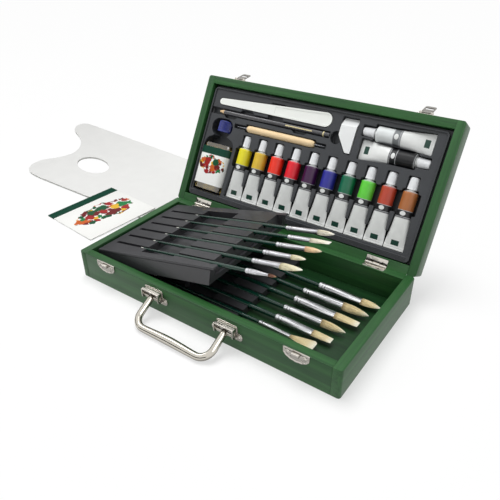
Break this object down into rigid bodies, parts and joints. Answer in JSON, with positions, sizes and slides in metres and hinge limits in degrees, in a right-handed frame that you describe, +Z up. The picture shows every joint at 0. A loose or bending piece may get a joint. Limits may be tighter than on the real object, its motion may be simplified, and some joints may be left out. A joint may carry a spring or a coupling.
{
  "type": "oil paint box set",
  "caption": "Hinged wooden artist's box standing open with trays of paint tubes, brushes and tools, a fold-down carry handle, and a mixing palette and leaflet lying beside it.",
  "frame": {"origin": "centre of the box base's underside, on the table", "axes": "+X along the box's front towards its right end, +Y from the front (handle and latches) to the hinges, +Z up"},
  "size_m": [0.8681, 0.4514, 0.2065],
  "materials": {
    "green_wood": "satin",
    "green_panel": "satin",
    "nickel": "polished",
    "black_tray": "satin",
    "brush": "gloss",
    "bottle_glass": "gloss",
    "oil": "gloss",
    "black_cap": "satin",
    "white_plastic": "satin",
    "white_palette": "satin",
    "black_pencil": "gloss",
    "turned_wood": "satin",
    "eraser": "matte",
    "printed_card": "satin",
    "paint_lemon_yellow": "satin",
    "paint_golden_yellow": "satin",
    "paint_vermilion": "satin",
    "paint_crimson": "satin",
    "paint_violet": "satin",
    "paint_ultramarine": "satin",
    "paint_viridian": "satin",
    "paint_light_green": "satin",
    "paint_red_brown": "satin",
    "paint_brown": "satin",
    "paint_white_large": "satin",
    "paint_black_large": "satin"
  },
  "bodies": {
    "base": {"base_front_board": "green_wood", "base_back_board": "green_wood", "base_end_boards": "green_wood", "base_bottom_panel": "green_panel", "hinge_base_leaves": "nickel", "hinge_pins": "nickel", "base_screws": "nickel", "catch_plates": "nickel", "handle_mounts": "nickel", "lower_brush_tray": "black_tray"},
    "lid": {"lid_front_board": "green_wood", "lid_back_board": "green_wood", "lid_end_boards": "green_wood", "lid_top_panel": "green_panel", "hinge_lid_leaves": "nickel", "lid_screws": "nickel", "lid_latch_plates": "nickel", "latch_pins": "nickel", "lid_tray": "black_tray"},
    "left_hasp": {"latch_hasp_left": "nickel"},
    "right_hasp": {"latch_hasp_right": "nickel"},
    "handle": {"handle_bail": "nickel"},
    "upper_tray": {"upper_brush_tray": "black_tray"},
    "round_brush_brown": {"round_brush_brown": "brush"},
    "filbert_brush_wide": {"filbert_brush_wide": "brush"},
    "filbert_brush_cream": {"filbert_brush_cream": "brush"},
    "round_brush_tan": {"round_brush_tan": "brush"},
    "flat_brush_white": {"flat_brush_white": "brush"},
    "round_brush_white": {"round_brush_white": "brush"},
    "fan_brush": {"fan_brush": "brush"},
    "flat_brush_small": {"flat_brush_small": "brush"},
    "round_brush_medium": {"round_brush_medium": "brush"},
    "flat_brush_medium": {"flat_brush_medium": "brush"},
    "round_brush_large": {"round_brush_large": "brush"},
    "filbert_brush_large": {"filbert_brush_large": "brush"},
    "tube_lemon_yellow": {"tube_lemon_yellow": "paint_lemon_yellow"},
    "tube_golden_yellow": {"tube_golden_yellow": "paint_golden_yellow"},
    "tube_vermilion": {"tube_vermilion": "paint_vermilion"},
    "tube_crimson": {"tube_crimson": "paint_crimson"},
    "tube_violet": {"tube_violet": "paint_violet"},
    "tube_ultramarine": {"tube_ultramarine": "paint_ultramarine"},
    "tube_viridian": {"tube_viridian": "paint_viridian"},
    "tube_light_green": {"tube_light_green": "paint_light_green"},
    "tube_red_brown": {"tube_red_brown": "paint_red_brown"},
    "tube_brown": {"tube_brown": "paint_brown"},
    "tube_white_large": {"tube_white_large": "paint_white_large"},
    "tube_black_large": {"tube_black_large": "paint_black_large"},
    "bottle": {"oil_bottle": "bottle_glass", "oil_fill": "oil"},
    "bottle_cap": {"bottle_cap": "black_cap"},
    "palette_knife": {"palette_knife": "white_plastic"},
    "pencil": {"pencil": "black_pencil"},
    "needle_tool": {"needle_tool": "turned_wood"},
    "eraser": {"eraser": "eraser"},
    "palette": {"mixing_palette": "white_palette"},
    "booklet": {"booklet": "printed_card"}
  },
  "joints": [
    {"name": "lid_hinge", "type": "hinge", "parent": "base", "child": "lid", "pos_m": [0, 0.0953, 0.038], "axis": [-1, 0, 0], "range_deg": [-118.6, 0]},
    {"name": "upper_tray_tilt", "type": "hinge", "parent": "base", "child": "upper_tray", "pos_m": [-0.1744, 0, 0.0135], "axis": [0, -1, 0], "range_deg": [-12.95, 0]},
    {"name": "left_latch", "type": "hinge", "parent": "lid", "child": "left_hasp", "pos_m": [-0.14, 0.19486, 0.20389], "axis": [-1, 0, 0], "range_deg": [-145, 0]},
    {"name": "right_latch", "type": "hinge", "parent": "lid", "child": "right_hasp", "pos_m": [0.139, 0.19486, 0.20389], "axis": [-1, 0, 0], "range_deg": [-145, 0]},
    {"name": "handle_swing", "type": "hinge", "parent": "base", "child": "handle", "pos_m": [0, -0.1, 0.023], "axis": [-1, 0, 0], "range_deg": [0, 66]},
    {"name": "round_brush_brown_lift", "type": "slide", "parent": "upper_tray", "child": "round_brush_brown", "axis": [-0.2233, 0, 0.9748], "range_m": [0, 0.04]},
    {"name": "filbert_brush_wide_lift", "type": "slide", "parent": "upper_tray", "child": "filbert_brush_wide", "axis": [-0.2233, 0, 0.9748], "range_m": [0, 0.04]},
    {"name": "filbert_brush_cream_lift", "type": "slide", "parent": "upper_tray", "child": "filbert_brush_cream", "axis": [-0.2233, 0, 0.9748], "range_m": [0, 0.04]},
    {"name": "round_brush_tan_lift", "type": "slide", "parent": "upper_tray", "child": "round_brush_tan", "axis": [-0.2233, 0, 0.9748], "range_m": [0, 0.04]},
    {"name": "flat_brush_white_lift", "type": "slide", "parent": "upper_tray", "child": "flat_brush_white", "axis": [-0.2233, 0, 0.9748], "range_m": [0, 0.04]},
    {"name": "round_brush_white_lift", "type": "slide", "parent": "upper_tray", "child": "round_brush_white", "axis": [-0.2233, 0, 0.9748], "range_m": [0, 0.04]},
    {"name": "fan_brush_lift", "type": "hinge", "parent": "base", "child": "fan_brush", "pos_m": [-0.102, -0.052, 0.0101], "axis": [0, -1, 0], "range_deg": [0, 12]},
    {"name": "flat_brush_small_lift", "type": "hinge", "parent": "base", "child": "flat_brush_small", "pos_m": [-0.092, -0.033, 0.0101], "axis": [0, -1, 0], "range_deg": [0, 12]},
    {"name": "round_brush_medium_lift", "type": "hinge", "parent": "base", "child": "round_brush_medium", "pos_m": [-0.092, -0.012, 0.0101], "axis": [0, -1, 0], "range_deg": [0, 12]},
    {"name": "flat_brush_medium_lift", "type": "hinge", "parent": "base", "child": "flat_brush_medium", "pos_m": [-0.092, 0.009, 0.0101], "axis": [0, -1, 0], "range_deg": [0, 12]},
    {"name": "round_brush_large_lift", "type": "hinge", "parent": "base", "child": "round_brush_large", "pos_m": [-0.092, 0.03, 0.0101], "axis": [0, -1, 0], "range_deg": [0, 12]},
    {"name": "filbert_brush_large_lift", "type": "hinge", "parent": "base", "child": "filbert_brush_large", "pos_m": [-0.082, 0.051, 0.0101], "axis": [0, -1, 0], "range_deg": [0, 12]},
    {"name": "tube_lemon_yellow_out", "type": "slide", "parent": "lid", "child": "tube_lemon_yellow", "axis": [0, -0.878, 0.4787], "range_m": [0, 0.03]},
    {"name": "tube_golden_yellow_out", "type": "slide", "parent": "lid", "child": "tube_golden_yellow", "axis": [0, -0.878, 0.4787], "range_m": [0, 0.03]},
    {"name": "tube_vermilion_out", "type": "slide", "parent": "lid", "child": "tube_vermilion", "axis": [0, -0.878, 0.4787], "range_m": [0, 0.03]},
    {"name": "tube_crimson_out", "type": "slide", "parent": "lid", "child": "tube_crimson", "axis": [0, -0.878, 0.4787], "range_m": [0, 0.03]},
    {"name": "tube_violet_out", "type": "slide", "parent": "lid", "child": "tube_violet", "axis": [0, -0.878, 0.4787], "range_m": [0, 0.03]},
    {"name": "tube_ultramarine_out", "type": "slide", "parent": "lid", "child": "tube_ultramarine", "axis": [0, -0.878, 0.4787], "range_m": [0, 0.03]},
    {"name": "tube_viridian_out", "type": "slide", "parent": "lid", "child": "tube_viridian", "axis": [0, -0.878, 0.4787], "range_m": [0, 0.03]},
    {"name": "tube_light_green_out", "type": "slide", "parent": "lid", "child": "tube_light_green", "axis": [0, -0.878, 0.4787], "range_m": [0, 0.03]},
    {"name": "tube_red_brown_out", "type": "slide", "parent": "lid", "child": "tube_red_brown", "axis": [0, -0.878, 0.4787], "range_m": [0, 0.03]},
    {"name": "tube_brown_out", "type": "slide", "parent": "lid", "child": "tube_brown", "axis": [0, -0.878, 0.4787], "range_m": [0, 0.03]},
    {"name": "tube_white_large_out", "type": "slide", "parent": "lid", "child": "tube_white_large", "axis": [0, -0.878, 0.4787], "range_m": [0, 0.03]},
    {"name": "tube_black_large_out", "type": "slide", "parent": "lid", "child": "tube_black_large", "axis": [0, -0.878, 0.4787], "range_m": [0, 0.03]},
    {"name": "bottle_out", "type": "slide", "parent": "lid", "child": "bottle", "axis": [0, -0.878, 0.4787], "range_m": [0, 0.03]},
    {"name": "palette_knife_out", "type": "slide", "parent": "lid", "child": "palette_knife", "axis": [0, -0.878, 0.4787], "range_m": [0, 0.03]},
    {"name": "pencil_out", "type": "slide", "parent": "lid", "child": "pencil", "axis": [0, -0.878, 0.4787], "range_m": [0, 0.03]},
    {"name": "needle_tool_out", "type": "slide", "parent": "lid", "child": "needle_tool", "axis": [0, -0.878, 0.4787], "range_m": [0, 0.03]},
    {"name": "eraser_out", "type": "slide", "parent": "lid", "child": "eraser", "axis": [0, -0.878, 0.4787], "range_m": [0, 0.03]},
    {"name": "cap_turn", "type": "hinge", "parent": "bottle", "child": "bottle_cap", "pos_m": [-0.1445, 0.16246, 0.1384], "axis": [0, 0.4787, 0.878], "range_deg": [0, 540]},
    {"name": "palette_lift", "type": "slide", "parent": "base", "child": "palette", "axis": [0, 0, 1], "range_m": [0, 0.12]},
    {"name": "booklet_lift", "type": "slide", "parent": "palette", "child": "booklet", "axis": [0, 0, 1], "range_m": [0, 0.12]}
  ],
  "couplings": [
    {"joint": "upper_tray_tilt", "follows": "lid_hinge", "ratio": 0.10877}
  ]
}
